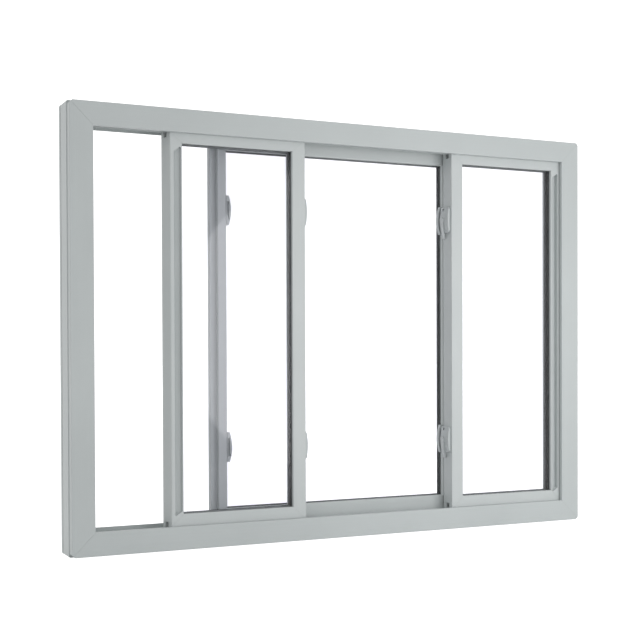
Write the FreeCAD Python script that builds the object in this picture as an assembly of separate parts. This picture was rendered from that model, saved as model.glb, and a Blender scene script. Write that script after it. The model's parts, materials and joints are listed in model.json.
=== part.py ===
import FreeCAD, Part
import math
import os

# Horizontal sliding window with a fixed middle light and a sliding sash at each end.
# X runs along the wall, the room side faces -Y, Z is up.
# The origin is the middle of the underside of the sill.

# Whole window, in millimetres
window_width = 1248.0
window_height = 917.0

# Main frame: the same channel section on all four sides, welded at mitred corners.
# Widths of the frame are measured in from its outermost plane.
frame_face = 50.0
frame_web = 31.5
frame_step = 1.5
frame_step_depth = 20.0
front_leg = 9.0
rear_leg = 3.0
rear_leg_face = 45.5
sill_rear_leg_face = 48.5
corner_cut = 2.5
face_corner_cut = 6.5
fin_groove = 4.0
fin_groove_depth = 2.0
fin_groove_inset = 12.0
frame_edge_radius = 1.5
weep_slot = 24.0
weep_slot_height = 5.0
weep_slot_inset = 260.0

# Ribs that stand in the channels of the sill and the head
parting_rib = 3.0
parting_rib_face = 41.5
track_rib = 4.0
track_rib_face = 36.5
guide_fin = 3.0
guide_fin_face = 48.5

# Sliding sashes. A pull stile leans: its back edge stands further out than its face.
sash_width = 314.0
sash_depth = 37.0
sash_guide_gap = 2.0
sash_tuck = 6.0
jamb_tuck = 10.0
sash_top_rail = 27.0
sash_bottom_rail = 30.5
pull_stile = 33.0
pull_stile_lean = 6.0
pull_stile_back = 8.0
meeting_stile = 30.0
pull_edge_radius = 3.5
sash_edge_radius = 1.2
rail_groove = 12.0
rail_groove_depth = 14.0
left_sash_opening = 167.0

# Finger groove along the pull stile, with slanting ends
pull_groove_edge = 14.5
pull_lip = 2.5
pull_groove_depth = 6.0
pull_groove_end = 6.0
pull_groove_slant = 10.0
pull_groove_radius = 2.0

# Fixed light, set in the rear channel
fixed_gap = 5.0
fixed_depth = 26.0
fixed_rail_sight = 74.5
fixed_top_sight = 71.0
fixed_stile = 34.0
fixed_stile_front = 20.0
fixed_stile_flange = 14.0
fixed_edge_radius = 1.2

# Double glazing: held by beads on the outside in the sashes, on the room side in the fixed light
pane = 3.0
sash_air_gap = 13.0
fixed_air_gap = 9.0
sash_glass_recess = 8.0
fixed_glass_recess = 9.0
glazing_rebate = 10.0
glass_edge_gap = 2.0
spacer_width = 7.0
bead_gap = 0.2
bead_slope = 2.0

# Rollers under each sash
roller_radius = 6.5
roller_width = 5.0
roller_lift = 0.3
roller_inset = 48.0
roller_housing_length = 32.0
roller_housing_gap = 0.3
roller_cheek = 2.4
roller_cheek_drop = 4.0
roller_axle_radius = 1.5
roller_slot_gap = 1.0

# Cam locks on the edge of each meeting stile
lower_lock_height = 207.0
upper_lock_inset = 200.0
lock_length = 60.0
lock_plate = 2.0
lock_crown = 2.6
lock_crown_drop = 3.0
lock_wall = 1.5
lock_corner_radius = 7.0
lock_pivot_inset = 11.0
lock_hub_radius = 6.0
lock_hub_clearance = 0.1
lock_screw_spacing = 47.0
lock_screw_radius = 3.4
cam_thickness = 3.5
cam_gap = 0.3
cam_end_gap = 0.5
cam_grip = 3.0
cam_root = 5.0
cam_tongue = 7.0
cam_half_angle = 42.0
lever_overhang = 14.0
lever_width = 10.0
lever_tip_width = 7.0
lever_thickness = 3.6

# Keepers on the inner edge of each fixed stile
keeper_overhang = 2.0
keeper_projection = 11.0
keeper_shoulder = 5.5
keeper_depth = 9.0
keeper_slot_gap = 0.6
keeper_slot_end_gap = 2.5
keeper_slot_flare = 2.0
keeper_slot_flare_length = 7.0

# Places worked out from the sizes above, as depths behind the room-side face
sash_front = front_leg + sash_guide_gap
sash_back = sash_front + sash_depth
fixed_front = sash_back + fixed_gap
fixed_back = fixed_front + fixed_depth
window_depth = fixed_back + rear_leg
track_line = sash_front + sash_depth / 2
sash_glass = (sash_front + sash_glass_recess, sash_front + sash_glass_recess + pane * 2 + sash_air_gap)
fixed_glass = (fixed_front + fixed_glass_recess, fixed_front + fixed_glass_recess + pane * 2 + fixed_air_gap)

# Heights, and distances from the middle
half_width = window_width / 2
sash_bottom = frame_face - sash_tuck
sash_top = window_height - frame_face + sash_tuck
closed_outer_edge = half_width - frame_face + jamb_tuck
closed_meeting_edge = closed_outer_edge - sash_width
lock_heights = {"lower": lower_lock_height, "upper": window_height - upper_lock_inset}

# Sizes of the locks that follow from what they reach and cover
lock_pivot = sash_back - lock_pivot_inset
cam_reach = lock_pivot_inset + fixed_gap + cam_grip
lock_width = lock_pivot_inset + cam_reach + cam_end_gap + lock_wall
cam_start = lock_plate + cam_gap
cam_end = cam_start + cam_thickness
lock_height = cam_end + cam_gap + lock_crown
lever_length = lock_length / 2 + lever_overhang
crown_radius = ((lock_length / 2) ** 2 + lock_crown_drop ** 2) / (2 * lock_crown_drop)
keeper_length = lock_length + 2 * keeper_overhang


def point(x, depth, z):
    """A point given by its depth behind the room-side face."""
    return FreeCAD.Vector(x, depth - window_depth / 2, z)


def block(x0, x1, d0, d1, z0, z1):
    """A box between two depths."""
    return Part.makeBox(x1 - x0, d1 - d0, z1 - z0, point(x0, d0, z0))


def face_of(corners, radii=None):
    """A flat face. Each corner with a radius is rounded by an arc tangent to its two sides."""
    radii = radii or [0.0] * len(corners)
    edges = []
    ends = []
    for i, corner in enumerate(corners):
        before = (corners[i - 1] - corner).normalize()
        after = (corners[(i + 1) % len(corners)] - corner).normalize()
        if radii[i] == 0.0:
            ends.append((corner, corner))
            continue
        half_angle = before.getAngle(after) / 2
        tangent = radii[i] / math.tan(half_angle)
        crest = (before + after).normalize() * (radii[i] / math.sin(half_angle) - radii[i])
        start = corner + before * tangent
        end = corner + after * tangent
        edges.append(Part.Arc(start, corner + crest, end).toShape())
        ends.append((start, end))
    for i in range(len(corners)):
        start, end = ends[i - 1][1], ends[i][0]
        edges.append(Part.makeLine(start, end))
    return Part.Face(Part.Wire(Part.__sortEdges__(edges)))


def bar(section, side, rect, widths, cut=0.0):
    """One mitred side of a rectangular frame.

    section lists (n, depth) or (n, depth, radius) corners, n being the distance in from the
    frame's outer edge. rect is (x0, x1, z0, z1); widths are those of the left, right, bottom and
    top sides, whose corners the mitres join.
    """
    x0, x1, z0, z1 = rect
    left, right, bottom, top = widths
    tip = cut / 2
    if side == "bottom":
        ends = [point(x0, corner[1], z0 + corner[0]) for corner in section]
        run = FreeCAD.Vector(x1 - x0, 0, 0)
        outline = [(x0 + cut, z0), (x1 - cut, z0), (x1 - tip, z0 + tip), (x1 - right, z0 + bottom),
                   (x0 + left, z0 + bottom), (x0 + tip, z0 + tip)]
    elif side == "top":
        ends = [point(x0, corner[1], z1 - corner[0]) for corner in section]
        run = FreeCAD.Vector(x1 - x0, 0, 0)
        outline = [(x0 + cut, z1), (x1 - cut, z1), (x1 - tip, z1 - tip), (x1 - right, z1 - top),
                   (x0 + left, z1 - top), (x0 + tip, z1 - tip)]
    elif side == "left":
        ends = [point(x0 + corner[0], corner[1], z0) for corner in section]
        run = FreeCAD.Vector(0, 0, z1 - z0)
        outline = [(x0, z0 + cut), (x0, z1 - cut), (x0 + tip, z1 - tip), (x0 + left, z1 - top),
                   (x0 + left, z0 + bottom), (x0 + tip, z0 + tip)]
    else:
        ends = [point(x1 - corner[0], corner[1], z0) for corner in section]
        run = FreeCAD.Vector(0, 0, z1 - z0)
        outline = [(x1, z0 + cut), (x1, z1 - cut), (x1 - tip, z1 - tip), (x1 - right, z1 - top),
                   (x1 - right, z0 + bottom), (x1 - tip, z0 + tip)]
    if cut == 0.0:
        outline = [outline[i] for i in (0, 1, 3, 4)]
    radii = [corner[2] if len(corner) > 2 else 0.0 for corner in section]
    solid = face_of(ends, radii).extrude(run)
    depths = [corner[1] for corner in section]
    mitre = face_of([point(x, min(depths), z) for x, z in outline])
    mitre = mitre.extrude(FreeCAD.Vector(0, max(depths) - min(depths), 0))
    return solid.common(mitre).removeSplitter().Solids[0]


def ring(rect, width, d0, d1):
    """A flat rectangular ring, such as the spacer between two panes."""
    x0, x1, z0, z1 = rect
    outer = block(x0, x1, d0, d1, z0, z1)
    inner = block(x0 + width, x1 - width, d0, d1, z0 + width, z1 - width)
    return outer.cut(inner).Solids[0]


def grown(rect, amount):
    x0, x1, z0, z1 = rect
    return (x0 - amount, x1 + amount, z0 - amount, z1 + amount)


def channel(rear_face):
    """Section of the main frame: web, room-side leg and rear leg.

    The room-side part is set in by a small step, and a groove for a nailing fin runs along the web.
    """
    groove_back = window_depth - fin_groove_inset
    groove_front = groove_back - fin_groove
    return [(frame_step, 0, frame_edge_radius), (frame_face, 0, frame_edge_radius), (frame_face, front_leg),
            (frame_web, front_leg), (frame_web, fixed_back), (rear_face, fixed_back),
            (rear_face, window_depth), (0, window_depth), (0, groove_back), (fin_groove_depth, groove_back),
            (fin_groove_depth, groove_front), (0, groove_front), (0, frame_step_depth),
            (frame_step, frame_step_depth)]


def rib(top, d0, d1):
    return [(frame_web, d0), (top, d0), (top, d1), (frame_web, d1)]


def face_corner_cutter(x, z):
    """The corner of the room-side face, trimmed at 45 degrees when the weld is cleaned."""
    across = math.copysign(face_corner_cut, -x)
    up = face_corner_cut if z == 0 else -face_corner_cut
    corner_x = x + math.copysign(frame_step, -x)
    corner_z = z + math.copysign(frame_step, up)
    corner = face_of([point(corner_x - across, 0, corner_z - up), point(corner_x + across, 0, corner_z - up),
                      point(corner_x + across, 0, corner_z), point(corner_x, 0, corner_z + up),
                      point(corner_x - across, 0, corner_z + up)])
    return corner.extrude(FreeCAD.Vector(0, frame_step_depth, 0))


def weep_slot_cutter(x):
    """A drain slot through the rear leg of the sill, at the level of the channel floor."""
    half = weep_slot / 2
    return block(x - half, x + half, fixed_back, window_depth, frame_web, frame_web + weep_slot_height)


def main_frame():
    rect = (-half_width, half_width, 0, window_height)
    widths = (frame_face,) * 4
    rear_faces = {"left": rear_leg_face, "right": rear_leg_face, "top": rear_leg_face,
                  "bottom": sill_rear_leg_face}
    corners = [face_corner_cutter(x, z) for x in (-half_width, half_width) for z in (0, window_height)]
    sides = {side: bar(channel(rear), side, rect, widths, corner_cut).cut(corners)
             for side, rear in rear_faces.items()}

    parting = rib(parting_rib_face, fixed_front - parting_rib, fixed_front)
    track = rib(track_rib_face, track_line - track_rib / 2, track_line + track_rib / 2)
    fin = rib(guide_fin_face, track_line - guide_fin / 2, track_line + guide_fin / 2)
    sill = sides["bottom"].fuse([bar(parting, "bottom", rect, widths), bar(track, "bottom", rect, widths)])
    sill = sill.cut([weep_slot_cutter(x) for x in (weep_slot_inset - half_width, half_width - weep_slot_inset)])
    head = sides["top"].fuse([bar(parting, "top", rect, widths), bar(fin, "top", rect, widths)])
    return {"frame_sill": sill.removeSplitter(), "frame_head": head.removeSplitter(),
            "frame_left_jamb": sides["left"], "frame_right_jamb": sides["right"]}


def sash_section(width, lean=0.0, outer_radius=sash_edge_radius):
    """Section of a sash member: a lip on the room side, and a rebate that is open to the outside."""
    rebate = width - glazing_rebate
    corners = [(lean, sash_front, outer_radius), (width, sash_front, sash_edge_radius), (width, sash_glass[0]),
               (rebate, sash_glass[0]), (rebate, sash_back), (0, sash_back)]
    if lean:
        corners.append((0, sash_back - pull_stile_back))
    return corners


def fixed_rail_section(width):
    """Section of a fixed rail, whose rebate is open to the room side."""
    rebate = width - glazing_rebate
    return [(0, fixed_front), (rebate, fixed_front), (rebate, fixed_glass[1]), (width, fixed_glass[1]),
            (width, fixed_back), (0, fixed_back)]


def fixed_stile_section():
    """The fixed stile: a wide flange at the back and a narrower face to the room."""
    front = fixed_stile - fixed_stile_front
    rebate = fixed_stile - glazing_rebate
    flange = fixed_back - fixed_stile_flange
    return [(0, flange), (front, flange), (front, fixed_front, fixed_edge_radius), (rebate, fixed_front),
            (rebate, fixed_glass[1]), (fixed_stile, fixed_glass[1]), (fixed_stile, fixed_back),
            (0, fixed_back)]


def beads(rect, widths, glass_side, outer_side):
    """Four glazing beads with a hairline at each mitre. Each has a slope along its outer edge."""
    slope = math.copysign(bead_slope, glass_side - outer_side)
    pieces = []
    for side, width in zip(("left", "right", "bottom", "top"), widths):
        section = [(width - glazing_rebate, outer_side), (width - bead_slope, outer_side),
                   (width, outer_side + slope), (width, glass_side), (width - glazing_rebate, glass_side)]
        pieces.append(bar(section, side, rect, widths))
    x0, x1, z0, z1 = rect
    left, right, bottom, top = widths
    corners = [(x0, z0, x0 + left, z0 + bottom), (x1, z0, x1 - right, z0 + bottom),
               (x0, z1, x0 + left, z1 - top), (x1, z1, x1 - right, z1 - top)]
    first = min(glass_side, outer_side)
    slits = []
    for outer_x, outer_z, inner_x, inner_z in corners:
        along = FreeCAD.Vector(inner_x - outer_x, 0, inner_z - outer_z).normalize()
        across = FreeCAD.Vector(-along.z, 0, along.x) * (bead_gap / 2)
        start = point(outer_x, first, outer_z)
        end = point(inner_x, first, inner_z)
        slit = face_of([start - across, start + across, end + across, end - across])
        slits.append(slit.extrude(FreeCAD.Vector(0, abs(glass_side - outer_side), 0)))
    trimmed = [max(piece.cut(slits).Solids, key=lambda solid: solid.Volume) for piece in pieces]
    return Part.makeCompound(trimmed)


def glazing(sight, front, air_gap):
    """Two panes and the spacer between them. sight is the visible opening."""
    edge = grown(sight, glazing_rebate - glass_edge_gap)
    x0, x1, z0, z1 = edge
    back = front + pane + air_gap
    panes = [block(x0, x1, front, front + pane, z0, z1), block(x0, x1, back, back + pane, z0, z1)]
    spacer = ring(edge, spacer_width, front + pane, back)
    return Part.makeCompound(panes), spacer


def pull_groove_cutter(outer, inward, z0, z1):
    """The finger groove, cut from the room-side face. Both ends rise towards +X."""
    a = outer + inward * pull_groove_edge
    b = outer + inward * (pull_stile - pull_lip)
    x0, x1 = min(a, b), max(a, b)
    low = z0 + pull_groove_end
    high = z1 - pull_groove_end
    outline = face_of([point(x0, sash_front, low - pull_groove_slant), point(x1, sash_front, low),
                       point(x1, sash_front, high), point(x0, sash_front, high - pull_groove_slant)],
                      [pull_groove_radius] * 4)
    return outline.extrude(FreeCAD.Vector(0, pull_groove_depth, 0))


def lean_cutter(outer, inward):
    """The wedge that is left off the outer side of a pull stile and of the rails' ends there."""
    wedge = face_of([point(outer, sash_front, sash_bottom),
                     point(outer + inward * pull_stile_lean, sash_front, sash_bottom),
                     point(outer, sash_back - pull_stile_back, sash_bottom)])
    return wedge.extrude(FreeCAD.Vector(0, 0, sash_top - sash_bottom))


def roller(x):
    """A nylon wheel on its axle between the cheeks of a housing."""
    centre = track_rib_face + roller_lift + roller_radius
    cheek_out = rail_groove / 2 - roller_housing_gap
    cheek_in = cheek_out - roller_cheek
    top = sash_bottom + rail_groove_depth - roller_housing_gap
    low = sash_bottom - roller_cheek_drop
    half = roller_housing_length / 2
    body = block(x - half, x + half, track_line - cheek_out, track_line + cheek_out, low, top)
    slot_top = centre + roller_radius + roller_slot_gap
    body = body.cut(block(x - half, x + half, track_line - cheek_in, track_line + cheek_in, low, slot_top))
    along = FreeCAD.Vector(0, 1, 0)
    wheel_start = point(x, track_line - roller_width / 2, centre)
    axle_start = point(x, track_line - cheek_out, centre)
    wheel = Part.makeCylinder(roller_radius, roller_width, wheel_start, along)
    axle = Part.makeCylinder(roller_axle_radius, cheek_out * 2, axle_start, along)
    return body.fuse([wheel, axle]).removeSplitter().Solids[0]


class EdgePlace:
    """Places on the edge face of a stile, measured from a point at height z and a given depth.

    p is the distance out from the face, towards the middle of the window.
    """

    def __init__(self, x_edge, away, depth, z):
        self.x_edge = x_edge
        self.away = away
        self.depth = depth
        self.z = z
        self.out = FreeCAD.Vector(away, 0, 0)

    def at(self, p, depth=0.0, rise=0.0):
        return point(self.x_edge + self.away * p, self.depth + depth, self.z + rise)

    def disc(self, radius, p0, p1, rise=0.0):
        return Part.makeCylinder(radius, p1 - p0, self.at(p0, 0.0, rise), self.out)

    def dome(self, radius, top):
        """A ball whose highest point lies at p = top, over the pivot."""
        return Part.makeSphere(radius, self.at(top - radius))

    def prism(self, outline, p0, p1, radii=None):
        """An outline of (depth, rise) corners, raised from p0 to p1."""
        base = face_of([self.at(p0, depth, rise) for depth, rise in outline], radii)
        return base.extrude(self.out * (p1 - p0))


def lock_base(place):
    """The lock's casting: a domed cover with rounded corners over the pocket that the cam turns in."""
    half = lock_length / 2
    front = lock_pivot_inset - lock_width
    outline = [(front, -half), (front, half), (lock_pivot_inset, half), (lock_pivot_inset, -half)]
    radii = [lock_corner_radius, lock_corner_radius, 0.0, 0.0]
    body = place.prism(outline, 0, lock_height, radii).common(place.dome(crown_radius, lock_height))
    pocket = place.disc(cam_reach + cam_end_gap, lock_plate, cam_end + cam_gap)
    hub = place.disc(lock_hub_radius + lock_hub_clearance, lock_plate, lock_height)
    screws = [place.disc(lock_screw_radius, lock_plate, lock_height, sign * lock_screw_spacing / 2)
              for sign in (-1, 1)]
    return body.cut([pocket, hub] + screws).Solids[0]


def lock_lever(place):
    """The lever, its hub and the cam, a sector with a tongue at its rim. It is drawn unlocked."""
    angle = math.radians(cam_half_angle)
    reach = cam_reach / math.cos(angle)
    wedge = place.prism([(0, 0), (-cam_reach, reach * math.sin(angle)), (-cam_reach, -reach * math.sin(angle))],
                        cam_start, cam_end)
    sector = place.disc(cam_reach, cam_start, cam_end).common(wedge)
    bay = place.disc(cam_reach - cam_tongue, cam_start, cam_end)
    web = place.prism([(0, -cam_root), (0, cam_root), (-cam_reach + cam_tongue / 2, cam_root),
                       (-cam_reach + cam_tongue / 2, -cam_root)], cam_start, cam_end)
    cam = sector.cut(bay).fuse(web)

    arm_start = lock_height + cam_gap
    arm_end = arm_start + lever_thickness
    wide = lever_width / 2
    narrow = lever_tip_width / 2
    outline = [(-wide, 0), (wide, 0), (narrow, -lever_length), (-narrow, -lever_length)]
    finger = place.prism(outline, 0, arm_end, [0.0, 0.0, narrow * 0.9, narrow * 0.9])
    shell = place.dome(crown_radius + cam_gap + lever_thickness, arm_end)
    arm = finger.common(shell).cut(place.dome(crown_radius + cam_gap, arm_start))
    hub = place.disc(lock_hub_radius, cam_start, arm_end)
    return hub.fuse([cam, arm]).removeSplitter().Solids[0]


def keeper(place):
    """The keeper: a rounded block whose slot takes the cam's tongue. The slot's ends are flared."""
    half = keeper_length / 2
    low = place.at(keeper_shoulder, 0, -half)
    high = place.at(keeper_shoulder, 0, half)
    start = place.at(0, 0, -half)
    end = place.at(0, 0, half)
    crown = Part.Arc(low, place.at(keeper_projection), high).toShape()
    wire = Part.Wire([Part.makeLine(start, low), crown, Part.makeLine(high, end), Part.makeLine(end, start)])
    body = Part.Face(wire).extrude(FreeCAD.Vector(0, keeper_depth, 0))

    near = cam_start - keeper_slot_gap
    far = cam_end + keeper_slot_gap
    reach = cam_reach + cam_end_gap
    straight = reach - keeper_slot_flare_length
    outline = [(near, straight), (near, -reach), (far + keeper_slot_flare, -reach), (far, -straight),
               (far, reach), (near - keeper_slot_flare, reach)]
    slot = face_of([place.at(p, 0, rise) for p, rise in outline])
    return body.cut(slot.extrude(FreeCAD.Vector(0, cam_grip + keeper_slot_end_gap, 0))).Solids[0]


def sash(side):
    """A sliding sash: its own nodes, with the left sash slid part of the way open."""
    inward = 1 if side == "left" else -1
    outer = -inward * closed_outer_edge
    if side == "left":
        outer += left_sash_opening
    meeting = outer + inward * sash_width
    x0, x1 = min(outer, meeting), max(outer, meeting)
    rect = (x0, x1, sash_bottom, sash_top)
    stile_widths = (pull_stile, meeting_stile) if side == "left" else (meeting_stile, pull_stile)
    widths = stile_widths + (sash_bottom_rail, sash_top_rail)
    sight = (x0 + widths[0], x1 - widths[1], sash_bottom + sash_bottom_rail, sash_top - sash_top_rail)

    groove_half = rail_groove / 2
    grooves = [block(x0, x1, track_line - groove_half, track_line + groove_half, z, z + rail_groove_depth)
               for z in (sash_bottom, sash_top - rail_groove_depth)]
    meeting_side = "right" if side == "left" else "left"
    finger = pull_groove_cutter(outer, inward, sight[2], sight[3])
    lean = lean_cutter(outer, inward)
    pull = bar(sash_section(pull_stile, pull_stile_lean, pull_edge_radius), side, rect, widths)
    meeting_member = bar(sash_section(meeting_stile), meeting_side, rect, widths)
    top = bar(sash_section(sash_top_rail), "top", rect, widths)
    bottom = bar(sash_section(sash_bottom_rail), "bottom", rect, widths)
    panes, spacer = glazing(sight, sash_glass[0], sash_air_gap)
    prefix = side + "_sash_"
    nodes = {
        prefix + "top_rail": top.cut(grooves + [finger, lean]),
        prefix + "bottom_rail": bottom.cut(grooves + [finger, lean]),
        prefix + "pull_stile": pull.cut(grooves + [finger]),
        prefix + "meeting_stile": meeting_member.cut(grooves),
        prefix + "glazing_beads": beads(rect, widths, sash_glass[1], sash_back),
        prefix + "glass": panes,
        prefix + "spacer": spacer,
        prefix + "rollers": Part.makeCompound([roller(x0 + roller_inset), roller(x1 - roller_inset)]),
    }
    bases = []
    for name, z in lock_heights.items():
        place = EdgePlace(meeting, inward, lock_pivot, z)
        bases.append(lock_base(place))
        nodes[side + "_" + name + "_lock_lever"] = lock_lever(place)
    nodes[prefix + "lock_bases"] = Part.makeCompound(bases)
    return nodes


def fixed_light():
    edge = closed_meeting_edge
    outer = edge + fixed_stile
    rect = (-outer, outer, frame_web, window_height - frame_web)
    bottom = fixed_rail_sight - frame_web
    top = fixed_top_sight - frame_web
    widths = (fixed_stile, fixed_stile, bottom, top)
    sight = (-edge, edge, fixed_rail_sight, window_height - fixed_top_sight)
    panes, spacer = glazing(sight, fixed_glass[0], fixed_air_gap)
    nodes = {
        "fixed_light_bottom_rail": bar(fixed_rail_section(bottom), "bottom", rect, widths),
        "fixed_light_top_rail": bar(fixed_rail_section(top), "top", rect, widths),
        "fixed_light_left_stile": bar(fixed_stile_section(), "left", rect, widths),
        "fixed_light_right_stile": bar(fixed_stile_section(), "right", rect, widths),
        "fixed_light_glazing_beads": beads(rect, widths, fixed_glass[0], fixed_front),
        "fixed_light_glass": panes,
        "fixed_light_spacer": spacer,
    }
    for side, sign in (("left", -1), ("right", 1)):
        pair = [keeper(EdgePlace(sign * edge, -sign, fixed_front, z)) for z in lock_heights.values()]
        nodes[side + "_keepers"] = Part.makeCompound(pair)
    return nodes


def whole_window():
    nodes = {}
    for group in (main_frame(), fixed_light(), sash("left"), sash("right")):
        nodes.update(group)
    return nodes


os.makedirs("parts", exist_ok=True)
for node_name, node_shape in whole_window().items():
    node_shape.exportStep("parts/" + node_name + ".step")
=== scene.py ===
import json
import math

import bpy
import bmesh
from mathutils import Euler, Matrix, Vector


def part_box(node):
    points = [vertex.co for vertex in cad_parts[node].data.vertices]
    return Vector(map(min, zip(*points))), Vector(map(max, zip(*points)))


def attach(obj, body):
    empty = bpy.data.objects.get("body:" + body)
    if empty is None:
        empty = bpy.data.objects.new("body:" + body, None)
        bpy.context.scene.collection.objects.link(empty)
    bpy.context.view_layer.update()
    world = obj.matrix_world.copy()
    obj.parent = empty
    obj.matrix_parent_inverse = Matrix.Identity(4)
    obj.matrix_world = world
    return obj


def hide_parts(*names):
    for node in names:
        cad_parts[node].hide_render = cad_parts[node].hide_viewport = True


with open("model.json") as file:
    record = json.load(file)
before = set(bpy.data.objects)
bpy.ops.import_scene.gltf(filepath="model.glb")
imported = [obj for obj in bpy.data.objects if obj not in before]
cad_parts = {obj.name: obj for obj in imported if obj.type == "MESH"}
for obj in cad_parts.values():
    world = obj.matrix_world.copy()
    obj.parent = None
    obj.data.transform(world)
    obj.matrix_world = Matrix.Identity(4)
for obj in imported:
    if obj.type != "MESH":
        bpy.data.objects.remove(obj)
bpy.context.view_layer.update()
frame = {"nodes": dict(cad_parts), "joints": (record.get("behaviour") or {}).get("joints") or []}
nodes = frame["nodes"]


# Main frame.
# Four lengths of rigid PVC extrusion, light grey through and through, mitred and fusion welded at
# the corners. The die leaves a satin skin with fine lines, and each weld is cleaned to a hairline.
def linear(hex_code):
    """An sRGB hex colour as the linear colour that a socket takes."""
    parts = [int(hex_code[i:i + 2], 16) / 255 for i in (1, 3, 5)]
    return tuple(c / 12.92 if c <= 0.04045 else ((c + 0.055) / 1.055) ** 2.4 for c in parts) + (1.0,)


def add(tree, kind, inputs=None, **settings):
    """Adds a node. inputs gives each input a value, or another node's socket to link from."""
    node = tree.nodes.new(kind)
    for name, value in settings.items():
        setattr(node, name, value)
    for name, value in (inputs or {}).items():
        if isinstance(value, bpy.types.NodeSocket):
            tree.links.new(value, node.inputs[name])
        else:
            node.inputs[name].default_value = value
    return node


def new_material(name):
    """An empty node material, its tree and its Object coordinates."""
    material = bpy.data.materials.new(name)
    material.use_nodes = True
    tree = material.node_tree
    tree.nodes.clear()
    return material, tree, add(tree, "ShaderNodeTexCoord").outputs["Object"]


def weld_seam(tree, place, rect, widths):
    """1 on the mitre lines of a welded rectangular frame, 0 a hairline away.

    rect is (x0, x1, z0, z1) and widths are the frame's left, right, bottom and top widths.
    """
    hairline = 0.0007
    x0, x1, z0, z1 = rect
    left, right, bottom, top = widths
    along = add(tree, "ShaderNodeSeparateXYZ", {"Vector": place})
    shares = []
    for axis, start, width in (("X", x0, left), ("X", x1, -right), ("Z", z0, bottom), ("Z", z1, -top)):
        share = add(tree, "ShaderNodeMapRange", {"Value": along.outputs[axis], "From Min": start,
                                                 "From Max": start + width}, clamp=False)
        shares.append(share.outputs[0])
    across = add(tree, "ShaderNodeMath", {0: shares[0], 1: shares[1]}, operation="MINIMUM").outputs[0]
    up = add(tree, "ShaderNodeMath", {0: shares[2], 1: shares[3]}, operation="MINIMUM").outputs[0]
    apart = add(tree, "ShaderNodeMath", {0: across, 1: up}, operation="SUBTRACT").outputs[0]
    apart = add(tree, "ShaderNodeMath", {0: apart}, operation="ABSOLUTE").outputs[0]
    return add(tree, "ShaderNodeMapRange",
               {"Value": apart, "From Min": hairline / left, "From Max": 0.0}).outputs[0]


def rigid_pvc_extrusion(name, tone, along, edge_radius, rect, widths):
    """Rigid PVC, extruded. along is the axis the extrusion runs: die lines follow it.

    The eye sees an even pale grey with a soft satin sheen, faint streaks along the length,
    a hairline at each welded mitre and slightly rounded corners that catch the light.
    """
    streak_width = 0.0008
    streak_length = 0.30
    streak_depth = 0.00001
    streak_band = (0.3, 0.7)
    streak_shade = (0.985, 1.012)
    streak_roughness = (0.38, 0.46)
    peel_size = 0.0012
    peel_depth = 0.000012
    cloud_size = 0.16
    cloud_band = (0.35, 0.65)
    cloud_share = (0.25, 0.75)
    seam_depth = 0.00015
    seam_shade = 0.93
    vinyl_ior = 1.53

    material, tree, place = new_material(name)
    scale = [1 / streak_width] * 3
    scale["XYZ".index(along)] = 1 / streak_length
    stretched = add(tree, "ShaderNodeMapping", {"Vector": place, "Scale": scale}).outputs["Vector"]
    streaks = add(tree, "ShaderNodeTexNoise",
                  {"Vector": stretched, "Scale": 1.0, "Detail": 2.0}).outputs["Fac"]
    peel = add(tree, "ShaderNodeTexNoise",
               {"Vector": place, "Scale": 1 / peel_size, "Detail": 2.0}).outputs["Fac"]
    clouds = add(tree, "ShaderNodeTexNoise",
                 {"Vector": place, "Scale": 1 / cloud_size, "Detail": 3.0}).outputs["Fac"]
    seam = weld_seam(tree, place, rect, widths)

    dark, pale = tone
    blend = add(tree, "ShaderNodeMapRange",
                {"Value": clouds, "From Min": cloud_band[0], "From Max": cloud_band[1],
                 "To Min": cloud_share[0], "To Max": cloud_share[1]}).outputs[0]
    ground = add(tree, "ShaderNodeMix", {0: blend, 6: linear(dark), 7: linear(pale)}, data_type="RGBA")
    streak_tone = add(tree, "ShaderNodeMapRange",
                      {"Value": streaks, "From Min": streak_band[0], "From Max": streak_band[1],
                       "To Min": streak_shade[0], "To Max": streak_shade[1]}).outputs[0]
    seam_tone = add(tree, "ShaderNodeMapRange",
                    {"Value": seam, "To Min": 1.0, "To Max": seam_shade}).outputs[0]
    shade = add(tree, "ShaderNodeMath", {0: streak_tone, 1: seam_tone}, operation="MULTIPLY").outputs[0]
    colour = add(tree, "ShaderNodeVectorMath", {0: ground.outputs[2], "Scale": shade}, operation="SCALE")
    roughness = add(tree, "ShaderNodeMapRange",
                    {"Value": streaks, "From Min": streak_band[0], "From Max": streak_band[1],
                     "To Min": streak_roughness[0], "To Max": streak_roughness[1]}).outputs[0]

    rounded = add(tree, "ShaderNodeBevel", {"Radius": edge_radius}, samples=6).outputs["Normal"]
    lines = add(tree, "ShaderNodeBump",
                {"Height": streaks, "Distance": streak_depth, "Normal": rounded}).outputs["Normal"]
    skin = add(tree, "ShaderNodeBump",
               {"Height": peel, "Distance": peel_depth, "Normal": lines}).outputs["Normal"]
    welded = add(tree, "ShaderNodeBump",
                 {"Height": seam, "Distance": seam_depth, "Normal": skin}, invert=True).outputs["Normal"]
    shader = add(tree, "ShaderNodeBsdfPrincipled",
                 {"Base Color": colour.outputs[0], "Roughness": roughness, "IOR": vinyl_ior,
                  "Normal": welded})
    add(tree, "ShaderNodeOutputMaterial", {"Surface": shader.outputs[0]})
    return material


def finish_nodes(names, material):
    """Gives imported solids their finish."""
    for name in names:
        for holder in nodes[name].material_slots:
            holder.material = material


def outline_of(names):
    """(x0, x1, z0, z1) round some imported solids, seen from the room."""
    corners = [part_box(name) for name in names]
    return (min(low.x for low, high in corners), max(high.x for low, high in corners),
            min(low.z for low, high in corners), max(high.z for low, high in corners))


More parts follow.
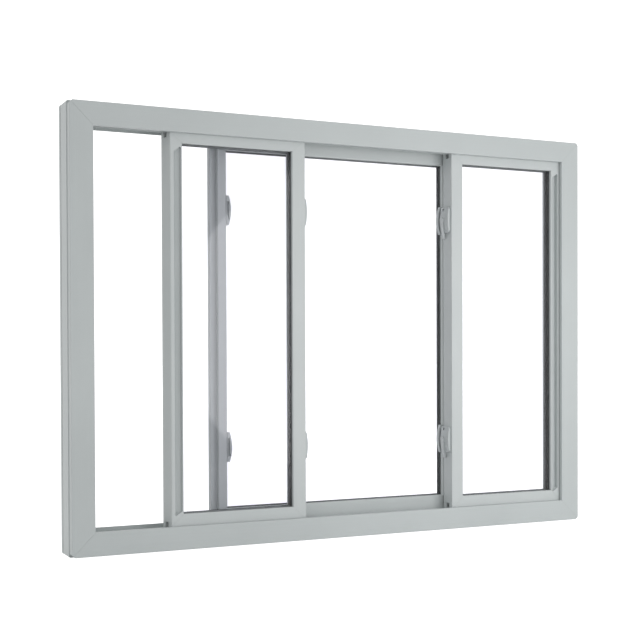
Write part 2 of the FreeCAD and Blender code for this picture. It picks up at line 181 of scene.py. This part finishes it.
frame_tone = ("#BEC4C4", "#C5CBCB")
frame_edge = 0.0008
frame_face = 0.050
frame_members = ("frame_left_jamb", "frame_right_jamb", "frame_sill", "frame_head")
frame_weld = (outline_of(frame_members), (frame_face,) * 4)
frame_rail_vinyl = rigid_pvc_extrusion("frame rail vinyl", frame_tone, "X", frame_edge, *frame_weld)
frame_jamb_vinyl = rigid_pvc_extrusion("frame jamb vinyl", frame_tone, "Z", frame_edge, *frame_weld)
finish_nodes(frame_members[2:], frame_rail_vinyl)
finish_nodes(frame_members[:2], frame_jamb_vinyl)


# Fixed light and the two sliding sashes.
# The same rigid PVC in narrower sections, welded at the corners, with clip-in glazing beads that
# hold the panes. The sashes are a shade paler than the frame.
sash_tone = ("#C3C9C9", "#CACFCF")
sash_edge = 0.0006
body_of = {"fixed_light": "frame", "left_sash": "left_sash", "right_sash": "right_sash"}
stile_pairs = {"fixed_light": ("left_stile", "right_stile"),
               "left_sash": ("pull_stile", "meeting_stile"),
               "right_sash": ("meeting_stile", "pull_stile")}
sights = {}
for light, stiles in stile_pairs.items():
    left, right = [light + "_" + stile for stile in stiles]
    rails = [light + "_bottom_rail", light + "_top_rail"]
    rect = outline_of([left, right] + rails)
    edges = [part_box(left)[1].x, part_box(right)[0].x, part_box(rails[0])[1].z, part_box(rails[1])[0].z]
    widths = [abs(edge - side) for edge, side in zip(edges, rect)]
    sights[light] = edges
    rail_vinyl = rigid_pvc_extrusion(light + " rail vinyl", sash_tone, "X", sash_edge, rect, widths)
    stile_vinyl = rigid_pvc_extrusion(light + " stile vinyl", sash_tone, "Z", sash_edge, rect, widths)
    finish_nodes(rails + [light + "_glazing_beads"], rail_vinyl)
    finish_nodes([left, right], stile_vinyl)


# Pull stiles.
# The finger groove of a pull stile is deeper along its outer side, so that fingertips hook into it.
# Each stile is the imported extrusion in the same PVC, with that hollow milled in the groove's floor.
def merged_copy(node):
    """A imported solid's mesh as a bmesh, with its double corners merged."""
    merge_distance = 1e-6
    shape = bmesh.new()
    shape.from_mesh(nodes[node].data)
    bmesh.ops.remove_doubles(shape, verts=shape.verts, dist=merge_distance)
    return shape


def as_mesh(shape, name):
    """A bmesh as a mesh. The bmesh is freed."""
    mesh = bpy.data.meshes.new(name)
    shape.to_mesh(mesh)
    shape.free()
    return mesh


def linked(name, data):
    """A new object in the scene."""
    holder = bpy.data.objects.new(name, data)
    bpy.context.collection.objects.link(holder)
    return holder


def add_piece(name, mesh, body):
    """A piece of the dressed window, which moves with a body."""
    piece = linked(name, mesh)
    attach(piece, body)
    return piece


def flat_in(mesh, material):
    """Gives all of a copied mesh one material and flat shading."""
    mesh.materials.clear()
    mesh.materials.append(material)
    for face in mesh.polygons:
        face.use_smooth = False
        face.material_index = 0


groove_outer = 0.0145
groove_inner = 0.0305
groove_top = 0.0054
hollow_depth = 0.0106
groove_end = 0.0085
groove_slant = 0.010


def hollow_cutter(outer, inward, face, bottom, top):
    """A wedge as long as the groove, whose ends rise towards +X."""
    section = [(groove_outer, groove_top), (groove_outer, hollow_depth), (groove_inner, groove_top)]
    across = [outer + inward * inset for inset, depth in section]
    rise = groove_slant / (groove_inner - groove_outer)
    shape = bmesh.new()
    loops = []
    for z in (bottom + groove_end, top - groove_end):
        loops.append([shape.verts.new((x, face + depth, z - (max(across) - x) * rise))
                      for x, (inset, depth) in zip(across, section)])
    shape.faces.new(loops[0])
    shape.faces.new(loops[1])
    for i in range(len(section)):
        k = (i + 1) % len(section)
        shape.faces.new((loops[0][i], loops[0][k], loops[1][k], loops[1][i]))
    bmesh.ops.recalc_face_normals(shape, faces=shape.faces)
    return linked("hollow", as_mesh(shape, "hollow"))


for side, inward in (("left", 1), ("right", -1)):
    node = side + "_sash_pull_stile"
    low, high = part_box(node)
    outer = low.x if inward > 0 else high.x
    bottom, top = sights[side + "_sash"][2:]
    blank = linked(side + " blank", as_mesh(merged_copy(node), side + " blank"))
    cutter = hollow_cutter(outer, inward, low.y, bottom, top)
    milling = blank.modifiers.new("milling", "BOOLEAN")
    milling.operation = "DIFFERENCE"
    milling.solver = "EXACT"
    milling.object = cutter
    graph = bpy.context.evaluated_depsgraph_get()
    milled = bpy.data.meshes.new_from_object(blank.evaluated_get(graph), depsgraph=graph)
    for part in (blank, cutter):
        bpy.data.objects.remove(part)
    flat_in(milled, nodes[node].material_slots[0].material)
    stile = add_piece(side + "_grooved_stile", milled, side + "_sash")
    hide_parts(node)


# Glass.
# Two panes of clear float glass in each light, cut to size, set in the rebate against the spacer
# and held by the beads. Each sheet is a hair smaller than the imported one, so that none of its
# faces lies in the plane of a bead's or a spacer's face.
def float_glass(name):
    """Clear float glass. The eye sees through it, and catches a clean reflection at a slant.

    Each surface takes a few hundredths of the light, so what stands behind a double glazed
    light looks a shade darker. Only the faces that look at the eye reflect, and less than bare
    glass does, as coated panes.
    """
    wave_size = 0.25
    wave_depth = 0.00002
    coated_ior = 1.34
    polish = 0.02
    material, tree, place = new_material(name)
    waves = add(tree, "ShaderNodeTexNoise", {"Vector": place, "Scale": 1 / wave_size}).outputs["Fac"]
    surface = add(tree, "ShaderNodeBump", {"Height": waves, "Distance": wave_depth}).outputs["Normal"]
    sheen = add(tree, "ShaderNodeBsdfGlossy",
                {"Roughness": polish, "Color": linear("#FFFFFF"), "Normal": surface}).outputs[0]
    clear = add(tree, "ShaderNodeBsdfTransparent", {"Color": linear("#FBFBFC")}).outputs[0]
    slant = add(tree, "ShaderNodeFresnel", {"IOR": coated_ior}).outputs[0]
    behind = add(tree, "ShaderNodeNewGeometry").outputs["Backfacing"]
    front = add(tree, "ShaderNodeMath", {0: 1.0, 1: behind}, operation="SUBTRACT").outputs[0]
    share = add(tree, "ShaderNodeMath", {0: slant, 1: front}, operation="MULTIPLY").outputs[0]
    mixed = add(tree, "ShaderNodeMixShader", {"Fac": share, 1: clear, 2: sheen}).outputs[0]
    add(tree, "ShaderNodeOutputMaterial", {"Surface": mixed})
    return material


glass = float_glass("float glass")
pane_clearance = 0.00005
for light, body in body_of.items():
    node = light + "_glass"
    finish_nodes([node], glass)
    shape = merged_copy(node)
    shape.normal_update()
    for corner in shape.verts:
        corner.co -= Vector([math.copysign(pane_clearance, part) for part in corner.normal])
    sheets = as_mesh(shape, light + "_panes")
    flat_in(sheets, glass)
    panes = add_piece(light + "_panes", sheets, body)
    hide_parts(node)


# Spacers and glazing seals.
# A black butyl-coated spacer keeps the two panes apart. A soft dark lip, run along the edge of
# each opening, closes the joint between the vinyl and the glass on both sides.
def soft_black(name, dark, pale, roughness):
    """Butyl or soft PVC, extruded. Near black and dull, with fine pores and a dusty bloom."""
    pore_size = 0.0009
    pore_depth = 0.00004
    bloom_size = 0.03
    bloom_band = (0.35, 0.7)
    soft_ior = 1.5
    material, tree, place = new_material(name)
    pores = add(tree, "ShaderNodeTexNoise",
                {"Vector": place, "Scale": 1 / pore_size, "Detail": 2.0}).outputs["Fac"]
    bloom = add(tree, "ShaderNodeTexNoise",
                {"Vector": place, "Scale": 1 / bloom_size, "Detail": 4.0}).outputs["Fac"]
    share = add(tree, "ShaderNodeMapRange",
                {"Value": bloom, "From Min": bloom_band[0], "From Max": bloom_band[1]}).outputs[0]
    colour = add(tree, "ShaderNodeMix", {0: share, 6: linear(dark), 7: linear(pale)}, data_type="RGBA")
    surface = add(tree, "ShaderNodeBump", {"Height": pores, "Distance": pore_depth}).outputs["Normal"]
    shader = add(tree, "ShaderNodeBsdfPrincipled",
                 {"Base Color": colour.outputs[2], "Roughness": roughness, "IOR": soft_ior,
                  "Normal": surface})
    add(tree, "ShaderNodeOutputMaterial", {"Surface": shader.outputs[0]})
    return material


def mitred_ring(name, sight, section, body, material):
    """A closed strip run round an opening. section lists (inset from the sight line, y) corners."""
    left, right, bottom, top = sight
    shape = bmesh.new()
    loops = []
    for x, z, inward_x, inward_z in ((left, bottom, 1, 1), (right, bottom, -1, 1),
                                     (right, top, -1, -1), (left, top, 1, -1)):
        loops.append([shape.verts.new((x + inward_x * inset, y, z + inward_z * inset))
                      for inset, y in section])
    for i, loop in enumerate(loops):
        following = loops[(i + 1) % len(loops)]
        for j in range(len(section)):
            k = (j + 1) % len(section)
            shape.faces.new((loop[j], loop[k], following[k], following[j]))
    bmesh.ops.recalc_face_normals(shape, faces=shape.faces)
    mesh = as_mesh(shape, name)
    mesh.materials.append(material)
    add_piece(name, mesh, body)


butyl = soft_black("butyl spacer", "#181B1B", "#2C3030", 0.62)
finish_nodes([light + "_spacer" for light in body_of], butyl)

seal_lip = soft_black("soft glazing lip", "#5C6161", "#707575", 0.55)
lip_tuck = 0.0002
lip_reach = 0.0012
lip_height = 0.0016
lip_shoulder = (0.55 * lip_reach, 0.6 * lip_height)
for light, body in body_of.items():
    pane_low, pane_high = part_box(light + "_glass")
    for side, surface, outward in (("room", pane_low.y, -1), ("outside", pane_high.y, 1)):
        lip = [(-lip_tuck, surface), (lip_reach, surface),
               (lip_shoulder[0], surface + outward * lip_shoulder[1]),
               (-lip_tuck, surface + outward * lip_height)]
        mitred_ring(light + "_" + side + "_glazing_lip", sights[light], lip, body, seal_lip)


# Rollers.
# A nylon wheel on an axle between the cheeks of a moulded housing, pushed into the groove under
# each end of a sash.
def moulded_nylon(name):
    """Nylon, injection moulded. Off-white and slightly waxy, with a faint mould texture."""
    grain_size = 0.0006
    grain_depth = 0.00001
    edge_radius = 0.0003
    waxiness = 0.08
    wax_depth = 0.001
    material, tree, place = new_material(name)
    grain = add(tree, "ShaderNodeTexNoise",
                {"Vector": place, "Scale": 1 / grain_size, "Detail": 2.0}).outputs["Fac"]
    tone = add(tree, "ShaderNodeMix", {0: grain, 6: linear("#D3D3CC"), 7: linear("#DEDED8")},
               data_type="RGBA")
    rounded = add(tree, "ShaderNodeBevel", {"Radius": edge_radius}, samples=4).outputs["Normal"]
    surface = add(tree, "ShaderNodeBump",
                  {"Height": grain, "Distance": grain_depth, "Normal": rounded}).outputs["Normal"]
    shader = add(tree, "ShaderNodeBsdfPrincipled",
                 {"Base Color": tone.outputs[2], "Roughness": 0.42, "IOR": 1.53, "Normal": surface,
                  "Subsurface Weight": waxiness, "Subsurface Radius": (wax_depth,) * 3})
    add(tree, "ShaderNodeOutputMaterial", {"Surface": shader.outputs[0]})
    return material


sides = {"left": 1, "right": -1}
finish_nodes([side + "_sash_rollers" for side in sides], moulded_nylon("moulded nylon"))


# Cam locks and keepers.
# Zinc die castings under a grey stoved enamel that matches the vinyl. Each lock's domed cover is
# screwed to the edge of a meeting stile, and its keeper to the edge of the fixed stile.
def enamelled_zinc(name, dark, pale):
    """Die-cast zinc under stoved enamel. Smooth and softly glossy, with a slight orange peel,
    and a painted highlight that makes it paler along its rounded edges."""
    peel_size = 0.0016
    peel_depth = 0.00002
    edge_radius = 0.0007
    highlight_start = 0.02
    highlight_full = 0.30
    gloss = 0.28
    material, tree, place = new_material(name)
    peel = add(tree, "ShaderNodeTexNoise",
               {"Vector": place, "Scale": 1 / peel_size, "Detail": 2.0}).outputs["Fac"]
    rounded = add(tree, "ShaderNodeBevel", {"Radius": edge_radius}, samples=8).outputs["Normal"]
    flat = add(tree, "ShaderNodeNewGeometry").outputs["Normal"]
    turned = add(tree, "ShaderNodeVectorMath", {0: rounded, 1: flat}, operation="DISTANCE")
    # Painted highlight: where the bevel turns the normal, the rounded edges take the paler colour.
    edge = add(tree, "ShaderNodeMapRange", {"Value": turned.outputs["Value"], "From Min": highlight_start,
                                            "From Max": highlight_full}).outputs[0]
    tone = add(tree, "ShaderNodeMix", {0: edge, 6: linear(dark), 7: linear(pale)}, data_type="RGBA")
    surface = add(tree, "ShaderNodeBump",
                  {"Height": peel, "Distance": peel_depth, "Normal": rounded}).outputs["Normal"]
    shader = add(tree, "ShaderNodeBsdfPrincipled",
                 {"Base Color": tone.outputs[2], "Roughness": gloss, "IOR": 1.5, "Normal": surface})
    add(tree, "ShaderNodeOutputMaterial", {"Surface": shader.outputs[0]})
    return material


levels = ("lower", "upper")
# The paler colour of each enamel is a painted highlight along the rounded edges.
lock_enamel = enamelled_zinc("enamelled zinc casting", "#BCC2C3", "#D4D9D9")
lever_enamel = enamelled_zinc("enamelled zinc lever", "#C6CBCC", "#DEE2E2")
finish_nodes([side + part for side in sides for part in ("_keepers", "_sash_lock_bases")], lock_enamel)
finish_nodes([side + "_" + level + "_lock_lever" for side in sides for level in levels], lever_enamel)


# Screws of the locks and keepers.
# Small pan-head steel screws, zinc plated, with a cross recess. One at each end of every casting
# holds it to its stile.
def plated_steel(name):
    """Zinc-plated steel. Bright bluish grey metal with fine turning marks and a slight haze."""
    haze_size = 0.002
    haze_roughness = (0.24, 0.42)
    turning_pitch = 0.00025
    turning_depth = 0.000006
    material, tree, place = new_material(name)
    haze = add(tree, "ShaderNodeTexNoise",
               {"Vector": place, "Scale": 1 / haze_size, "Detail": 3.0}).outputs["Fac"]
    marks = add(tree, "ShaderNodeTexNoise", {"Vector": place, "Scale": 1 / turning_pitch}).outputs["Fac"]
    tone = add(tree, "ShaderNodeMix", {0: haze, 6: linear("#A9AEB2"), 7: linear("#C9CDCF")},
               data_type="RGBA")
    rough = add(tree, "ShaderNodeMapRange", {"Value": haze, "To Min": haze_roughness[0],
                                             "To Max": haze_roughness[1]}).outputs[0]
    surface = add(tree, "ShaderNodeBump", {"Height": marks, "Distance": turning_depth}).outputs["Normal"]
    shader = add(tree, "ShaderNodeBsdfPrincipled",
                 {"Base Color": tone.outputs[2], "Metallic": 1.0, "Roughness": rough, "Normal": surface})
    add(tree, "ShaderNodeOutputMaterial", {"Surface": shader.outputs[0]})
    return material


def node_group(name, sockets):
    """An empty Geometry Nodes tree with a geometry output and the named inputs."""
    tree = bpy.data.node_groups.new(name, "GeometryNodeTree")
    tree.interface.new_socket("Geometry", in_out="OUTPUT", socket_type="NodeSocketGeometry")
    for socket_name, kind in sockets.items():
        tree.interface.new_socket(socket_name, in_out="INPUT", socket_type="NodeSocket" + kind)
    return tree, tree.nodes.new("NodeGroupInput"), tree.nodes.new("NodeGroupOutput")


def made_by_nodes(name, points, tree, values, body):
    """Runs a Geometry Nodes tree on some points and keeps its result as a plain mesh."""
    seeds = bpy.data.meshes.new(name + " points")
    seeds.from_pydata(points, [], [])
    maker = linked(name + " maker", seeds)
    modifier = maker.modifiers.new("nodes", "NODES")
    modifier.node_group = tree
    for item in tree.interface.items_tree:
        if item.in_out == "INPUT" and item.name in values:
            modifier[item.identifier] = values[item.name]
    graph = bpy.context.evaluated_depsgraph_get()
    mesh = bpy.data.meshes.new_from_object(maker.evaluated_get(graph), depsgraph=graph)
    mesh.name = name
    bpy.data.objects.remove(maker)
    bpy.data.meshes.remove(seeds)
    add_piece(name, mesh, body)


def pan_head_screws():
    """A domed head with a cross recess on each point, turned to face along an axis.

    Inputs: Points, Head Radius, Head Height, Recess, Facing (Euler), Seed and Material.
    """
    slab_size = (4.0, 4.0, 2.0)
    recess_length = 1.15
    quarter_turn = math.pi / 2
    tree, given, out = node_group("pan head screws", {
        "Points": "Geometry", "Head Radius": "Float", "Head Height": "Float", "Recess": "Float",
        "Facing": "Vector", "Seed": "Int", "Material": "Material"})
    radius, height, recess = [given.outputs[name] for name in ("Head Radius", "Head Height", "Recess")]
    size = add(tree, "ShaderNodeCombineXYZ", {0: radius, 1: radius, 2: height}).outputs[0]
    ball = add(tree, "GeometryNodeMeshUVSphere", {"Segments": 24, "Rings": 12, "Radius": 1.0})
    dome = add(tree, "GeometryNodeTransform",
               {"Geometry": ball.outputs["Mesh"], "Scale": size}).outputs[0]
    slab = add(tree, "ShaderNodeVectorMath", {0: size, 1: slab_size}, operation="MULTIPLY").outputs[0]
    below = add(tree, "GeometryNodeMeshCube", {"Size": slab}).outputs["Mesh"]
    drop = add(tree, "ShaderNodeVectorMath", {0: size, 1: (0.0, 0.0, -1.0)},
               operation="MULTIPLY").outputs[0]
    below = add(tree, "GeometryNodeTransform", {"Geometry": below, "Translation": drop}).outputs[0]
    length = add(tree, "ShaderNodeMath", {0: radius, 1: recess_length}, operation="MULTIPLY").outputs[0]
    lift = add(tree, "ShaderNodeCombineXYZ", {2: height}).outputs[0]
    cutters = [below]
    for along, across in ((length, recess), (recess, length)):
        bar_size = add(tree, "ShaderNodeCombineXYZ", {0: along, 1: across, 2: height}).outputs[0]
        bar = add(tree, "GeometryNodeMeshCube", {"Size": bar_size}).outputs["Mesh"]
        cutters.append(add(tree, "GeometryNodeTransform",
                           {"Geometry": bar, "Translation": lift}).outputs[0])
    head = dome
    for cutter in cutters:
        head = add(tree, "GeometryNodeMeshBoolean", {"Mesh 1": head, "Mesh 2": cutter},
                   operation="DIFFERENCE").outputs["Mesh"]
    roll = add(tree, "FunctionNodeRandomValue", {"Seed": given.outputs["Seed"], 3: quarter_turn},
               data_type="FLOAT").outputs[1]
    roll_turn = add(tree, "ShaderNodeCombineXYZ", {2: roll}).outputs[0]
    facing = add(tree, "FunctionNodeEulerToRotation", {"Euler": given.outputs["Facing"]}).outputs[0]
    rolled = add(tree, "FunctionNodeEulerToRotation", {"Euler": roll_turn}).outputs[0]
    turn = add(tree, "FunctionNodeRotateRotation", {"Rotation": facing, "Rotate By": rolled},
               rotation_space="LOCAL").outputs[0]
    placed = add(tree, "GeometryNodeInstanceOnPoints",
                 {"Points": given.outputs["Points"], "Instance": head, "Rotation": turn}).outputs[0]
    real = add(tree, "GeometryNodeRealizeInstances", {"Geometry": placed}).outputs[0]
    finished = add(tree, "GeometryNodeSetMaterial",
                   {"Geometry": real, "Material": given.outputs["Material"]}).outputs[0]
    tree.links.new(finished, out.inputs[0])
    return tree


screws = pan_head_screws()
screw_values = {"Head Radius": 0.0029, "Head Height": 0.0016, "Recess": 0.0007,
                "Material": plated_steel("plated steel")}
lock_plate = 0.002
lock_screw_spacing = 0.047
lock_pivot_inset = 0.011
keeper_length = 0.064
keeper_screw_inset = 0.004
keeper_seat = 0.0059
keeper_half_span = keeper_length / 2 - keeper_screw_inset
heights = {joint["name"]: joint["pos_m"][2] for joint in frame["joints"] if "lock_turn" in joint["name"]}
for side, out in sides.items():
    facing = (0.0, math.radians(90) * out, 0.0)
    face = 1 if out > 0 else 0
    meeting_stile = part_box(side + "_sash_meeting_stile")
    fixed_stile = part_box("fixed_light_" + side + "_stile")
    keeper_low, keeper_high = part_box(side + "_keepers")

    lock_x = meeting_stile[face].x + out * lock_plate
    pivot_y = meeting_stile[1].y - lock_pivot_inset
    lock_heights = [heights[side + "_" + level + "_lock_turn"] for level in levels]
    lock_points = [(lock_x, pivot_y, height + sign * lock_screw_spacing / 2)
                   for height in lock_heights for sign in (-1, 1)]
    made_by_nodes(side + "_lock_screws", lock_points, screws,
                  dict(screw_values, Facing=facing, Seed=3), side + "_sash")

    keeper_x = fixed_stile[face].x + out * keeper_seat
    keeper_y = (keeper_low.y + keeper_high.y) / 2
    keeper_points = [(keeper_x, keeper_y, middle + sign * keeper_half_span)
                     for middle in (keeper_low.z + keeper_length / 2, keeper_high.z - keeper_length / 2)
                     for sign in (-1, 1)]
    made_by_nodes(side + "_keeper_screws", keeper_points, screws,
                  dict(screw_values, Facing=facing, Seed=5), "frame")


# Pile weatherstrip.
# Brushed polypropylene pile on a woven backing, slid into the back of each meeting stile. It
# closes the gap to the fixed stile when the sash is shut.
def brushed_pile(name, dark, pale):
    """Polypropylene pile and its woven backing. Dull grey, mottled from fibre to fibre."""
    fibre_size = 0.0012
    material, tree, place = new_material(name)
    fibres = add(tree, "ShaderNodeTexNoise",
                 {"Vector": place, "Scale": 1 / fibre_size, "Detail": 2.0}).outputs["Fac"]
    tone = add(tree, "ShaderNodeMix", {0: fibres, 6: linear(dark), 7: linear(pale)}, data_type="RGBA")
    shader = add(tree, "ShaderNodeBsdfPrincipled",
                 {"Base Color": tone.outputs[2], "Roughness": 0.85, "Sheen Weight": 0.3, "IOR": 1.49})
    add(tree, "ShaderNodeOutputMaterial", {"Surface": shader.outputs[0]})
    return material


def pile_strip():
    """Rows of bristles standing on a strip of backing that runs up Z and faces +Y.

    Inputs: Points (the middle of each strip, on its stile), Run, Width, Along (bristles along
    the run), Rows, Pile Height, Fibre, Backing, Seed and Material.
    """
    fibre_tip = 0.00004
    lean = 0.22
    shortest = (0.8, 0.8, 0.86)
    longest = (1.2, 1.2, 1.0)
    tree, given, out = node_group("pile strip", {
        "Points": "Geometry", "Run": "Float", "Width": "Float", "Along": "Int", "Rows": "Int",
        "Pile Height": "Float", "Fibre": "Float", "Backing": "Float", "Seed": "Int",
        "Material": "Material"})
    run, width, pile, backing = [given.outputs[name] for name in ("Run", "Width", "Pile Height", "Backing")]
    field = add(tree, "GeometryNodeMeshGrid",
                {"Size X": width, "Size Y": run, "Vertices X": given.outputs["Rows"],
                 "Vertices Y": given.outputs["Along"]}).outputs["Mesh"]
    fibre = add(tree, "GeometryNodeMeshCone",
                {"Vertices": 3, "Radius Top": fibre_tip, "Radius Bottom": given.outputs["Fibre"],
                 "Depth": pile}).outputs["Mesh"]
    tilt = add(tree, "FunctionNodeRandomValue",
               {0: (-lean, -lean, 0.0), 1: (lean, lean, math.pi), "Seed": given.outputs["Seed"]},
               data_type="FLOAT_VECTOR").outputs[0]
    length = add(tree, "FunctionNodeRandomValue",
                 {0: shortest, 1: longest, "Seed": given.outputs["Seed"]},
                 data_type="FLOAT_VECTOR").outputs[0]
    brush = add(tree, "GeometryNodeInstanceOnPoints",
                {"Points": field, "Instance": fibre, "Rotation": tilt, "Scale": length}).outputs[0]
    brush = add(tree, "GeometryNodeRealizeInstances", {"Geometry": brush}).outputs[0]
    base_size = add(tree, "ShaderNodeCombineXYZ", {0: width, 1: run, 2: backing}).outputs[0]
    base = add(tree, "GeometryNodeMeshCube", {"Size": base_size}).outputs["Mesh"]
    half = add(tree, "ShaderNodeMath", {0: backing, 1: 0.5}, operation="MULTIPLY").outputs[0]
    lift = add(tree, "ShaderNodeCombineXYZ", {2: half}).outputs[0]
    base = add(tree, "GeometryNodeTransform", {"Geometry": base, "Translation": lift}).outputs[0]
    strip = add(tree, "GeometryNodeJoinGeometry")
    for part in (brush, base):
        tree.links.new(part, strip.inputs[0])
    upright = add(tree, "GeometryNodeTransform",
                  {"Geometry": strip.outputs[0], "Rotation": (math.radians(-90), 0.0, 0.0)}).outputs[0]
    placed = add(tree, "GeometryNodeInstanceOnPoints",
                 {"Points": given.outputs["Points"], "Instance": upright}).outputs[0]
    real = add(tree, "GeometryNodeRealizeInstances", {"Geometry": placed}).outputs[0]
    finished = add(tree, "GeometryNodeSetMaterial",
                   {"Geometry": real, "Material": given.outputs["Material"]}).outputs[0]
    tree.links.new(finished, out.inputs[0])
    return tree


pile_tree = pile_strip()
pile_pitch = 0.0011
pile_inset = 0.010
pile_end_gap = 0.050
pile_values = {"Width": 0.0045, "Rows": 5, "Pile Height": 0.0042, "Fibre": 0.00022, "Backing": 0.0008,
               "Seed": 11, "Material": brushed_pile("brushed pile", "#6F7475", "#9DA2A2")}
for side, out in sides.items():
    low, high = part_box(side + "_sash_meeting_stile")
    run = high.z - low.z - 2 * pile_end_gap
    edge = high.x if out > 0 else low.x
    middle = (edge - out * pile_inset, high.y, (low.z + high.z) / 2)
    made_by_nodes(side + "_sash_pile", [middle], pile_tree,
                  dict(pile_values, Run=run, Along=int(run / pile_pitch)), side + "_sash")


# Stage.
# A matt floor and a sky that both look white to the eye, so that no shadow shows on them, as in
# the photograph, with two soft lamps on the room side and the photograph's viewpoint.
def strength_by_ray(tree, cast, mirrored, direct):
    """A strength for the light cast on things, for mirrored rays and for the eye's own rays.

    The last is above white, so that the background stays white through several panes.
    """
    rays = add(tree, "ShaderNodeLightPath")
    bounced = add(tree, "ShaderNodeMath", {0: rays.outputs["Is Glossy Ray"],
                                           1: rays.outputs["Is Transmission Ray"]}, operation="MAXIMUM")
    strength = add(tree, "ShaderNodeMapRange",
                   {"Value": bounced.outputs[0], "To Min": cast, "To Max": mirrored}).outputs[0]
    return add(tree, "ShaderNodeMapRange", {"Value": rays.outputs["Is Camera Ray"], "To Min": strength,
                                            "To Max": direct}).outputs[0]


def pale_floor(name, colour, glow):
    """A matt white floor that also glows, by a cast, a mirrored and a direct strength."""
    material, tree, _ = new_material(name)
    matt = add(tree, "ShaderNodeBsdfDiffuse", {"Color": linear(colour)}).outputs[0]
    glowing = add(tree, "ShaderNodeEmission",
                  {"Color": linear("#FFFFFF"), "Strength": strength_by_ray(tree, *glow)}).outputs[0]
    both = add(tree, "ShaderNodeAddShader", {0: matt, 1: glowing}).outputs[0]
    add(tree, "ShaderNodeOutputMaterial", {"Surface": both})
    return material


floor_half = 30.0
floor_glow = (0.0, 0.55, 1.0)
floor_corners = [(-floor_half, -floor_half, 0), (floor_half, -floor_half, 0),
                 (floor_half, floor_half, 0), (-floor_half, floor_half, 0)]
floor_mesh = bpy.data.meshes.new("floor")
floor_mesh.from_pydata(floor_corners, [], [(0, 1, 2, 3)])
floor_mesh.materials.append(pale_floor("pale floor", "#EEEEEE", floor_glow))
floor = linked("floor", floor_mesh)

sky_glow = (0.59, 1.0, 1.4)
world = bpy.data.worlds.new("studio")
bpy.context.scene.world = world
world.use_nodes = True
sky = world.node_tree
sky.nodes.clear()
backdrop = add(sky, "ShaderNodeBackground",
               {"Color": linear("#FFFFFF"), "Strength": strength_by_ray(sky, *sky_glow)}).outputs[0]
add(sky, "ShaderNodeOutputWorld", {"Surface": backdrop})


def area_lamp(name, place, aim, size, power):
    """A round soft lamp that points at aim. size in metres, power in watts."""
    lamp = bpy.data.lights.new(name, "AREA")
    lamp.shape = "DISK"
    lamp.size = size
    lamp.energy = power
    holder = linked(name, lamp)
    holder.location = place
    holder.rotation_euler = (Vector(aim) - Vector(place)).to_track_quat("-Z", "Y").to_euler()


area_lamp("key lamp", place=(0.80, -1.6, 0.50), aim=(0.4, 0, 0.45), size=1.2, power=10.6)
area_lamp("fill lamp", place=(-2.4, -0.4, 0.5), aim=(-0.5, 0, 0.45), size=1.5, power=4.2)

camera_place = (-1.2058, -2.4120, 0.4146)
camera_yaw = 25.525
camera_pitch = -0.782
camera_roll = -0.204
focal_pixels = 1202.8
image_pixels = 640
rise_pixels = 46.9
sensor_width = 36.0
camera = bpy.data.cameras.new("camera")
camera.sensor_width = sensor_width
camera.lens = sensor_width * focal_pixels / image_pixels
camera.shift_y = rise_pixels / image_pixels
viewer = linked("camera", camera)
facing = Euler((math.radians(90 + camera_pitch), 0, math.radians(-camera_yaw))).to_matrix()
roll = Matrix.Rotation(math.radians(camera_roll), 3, "Z")
viewer.matrix_world = Matrix.Translation(camera_place) @ (facing @ roll).to_4x4()
bpy.context.scene.camera = viewer
bpy.context.scene.view_settings.view_transform = "Standard"
